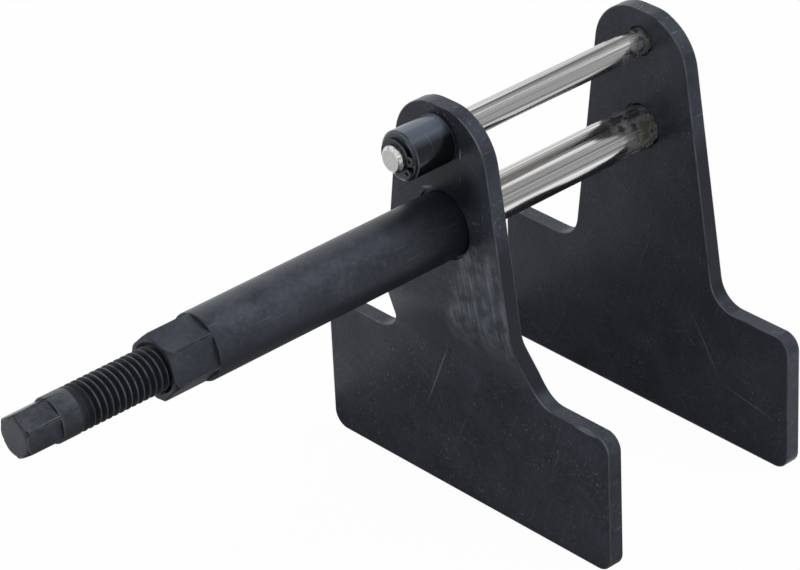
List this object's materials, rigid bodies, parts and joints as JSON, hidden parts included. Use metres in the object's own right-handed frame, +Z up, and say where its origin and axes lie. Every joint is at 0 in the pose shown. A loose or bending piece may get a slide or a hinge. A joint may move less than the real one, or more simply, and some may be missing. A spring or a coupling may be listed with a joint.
{
  "type": "brake caliper piston tool",
  "caption": "Screw spreader for brake caliper pistons: a hex-headed spindle in a long sleeve drives a T-shaped jaw plate away from a cranked one, guided by chromed rods.",
  "frame": {"origin": "middle of the tool in plan, on the surface that the feet of the jaws stand on, jaws open", "axes": "+X along the spindle from its head towards the rear jaw, +Y across the jaws, +Z up along the plates"},
  "size_m": [0.284, 0.14, 0.158],
  "materials": {
    "plate_steel": "black oxide, satin with fine scratches",
    "turned_steel": "black oxide, turned",
    "bush_steel": "black oxide, polished",
    "chrome_rod": "hard chrome, ground",
    "spring_steel": "phosphated"
  },
  "bodies": {
    "front_jaw": {"front_plate": "plate_steel", "sleeve": "turned_steel", "guide_bush": "bush_steel"},
    "rear_jaw": {"rear_plate": "plate_steel", "push_rod": "chrome_rod", "guide_rod": "chrome_rod", "circlip": "spring_steel"},
    "spindle": {"spindle": "turned_steel"}
  },
  "joints": [
    {"name": "jaw_slide", "type": "slide", "parent": "front_jaw", "child": "rear_jaw", "axis": [1, 0, 0], "range_m": [-0.07, 0]},
    {"name": "spindle_turn", "type": "hinge", "parent": "rear_jaw", "child": "spindle", "pos_m": [-0.1, 0, 0.113], "axis": [1, 0, 0], "range_deg": [-10080, 0]}
  ],
  "couplings": [
    {"joint": "spindle_turn", "follows": "jaw_slide", "rad_per_m": 2513.3}
  ]
}
